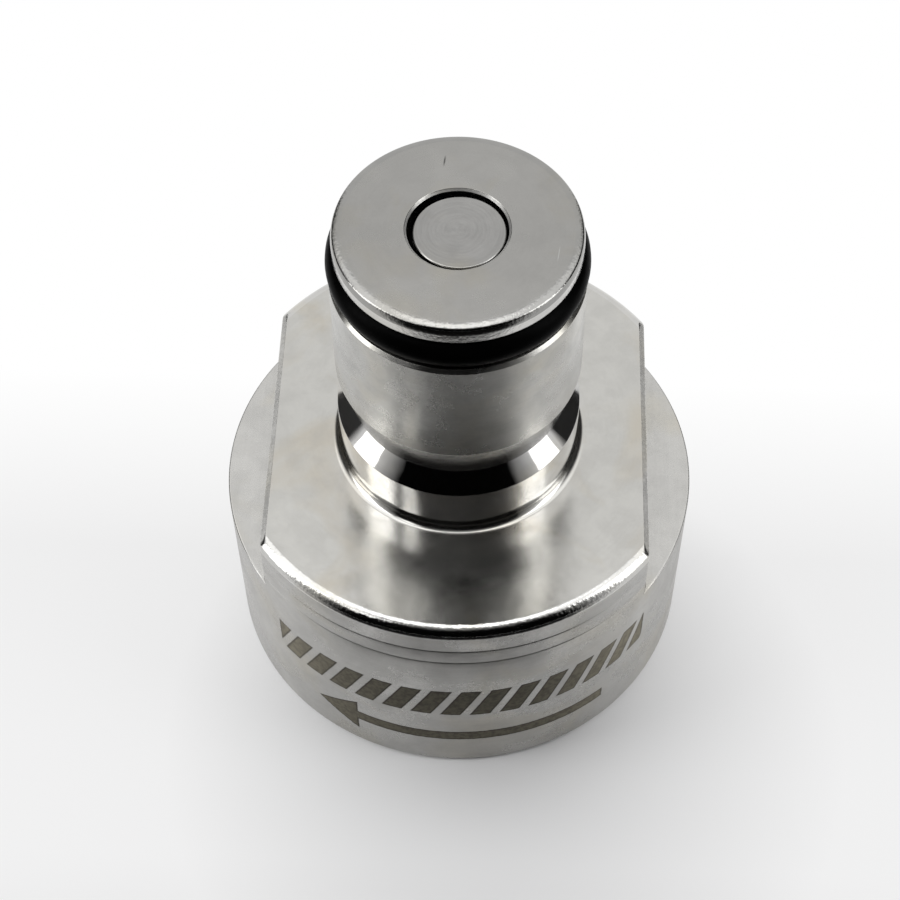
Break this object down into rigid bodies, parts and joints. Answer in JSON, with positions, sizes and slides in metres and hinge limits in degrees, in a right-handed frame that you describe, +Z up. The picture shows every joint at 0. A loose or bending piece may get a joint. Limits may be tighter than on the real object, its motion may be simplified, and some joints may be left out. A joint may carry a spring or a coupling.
{
  "type": "carbonation cap",
  "caption": "Steel screw cap for a soft-drink bottle with a ball-lock gas post, sprung poppet valve and push-in dip tube collet.",
  "frame": {"origin": "centre of the bottom rim of the skirt", "axes": "+Z up the cap's axis to the gas post; the wrench flats face +X and -X"},
  "size_m": [0.034, 0.034, 0.041],
  "materials": {
    "machined_steel": "satin turned stainless steel, bright in the ball-lock groove",
    "turned_steel": "fine turned stainless steel",
    "spring_steel": "drawn and stamped stainless steel",
    "black_rubber": "moulded, slightly glossy",
    "pale_rubber": "moulded silicone, satin",
    "grey_acetal": "moulded acetal, satin"
  },
  "bodies": {
    "cap": {"cap_body": "machined_steel", "bottle_seal": "pale_rubber", "post_o_ring": "black_rubber", "poppet_spring": "spring_steel", "spring_bush": "turned_steel", "upper_tube_o_ring": "black_rubber", "o_ring_spacer": "grey_acetal", "lower_tube_o_ring": "black_rubber", "collet_housing": "turned_steel"},
    "poppet": {"poppet_pin": "turned_steel", "poppet_seal": "black_rubber"},
    "collet": {"collet": "grey_acetal", "collet_teeth": "spring_steel"}
  },
  "joints": [
    {"name": "poppet_press", "type": "slide", "parent": "cap", "child": "poppet", "axis": [0, 0, -1], "range_m": [0, 0.0025], "stiffness_N_per_m": 1200, "springref_m": -0.003, "deforming": ["poppet_spring"]},
    {"name": "collet_release", "type": "slide", "parent": "cap", "child": "collet", "axis": [0, 0, 1], "range_m": [0, 0.0011]}
  ]
}
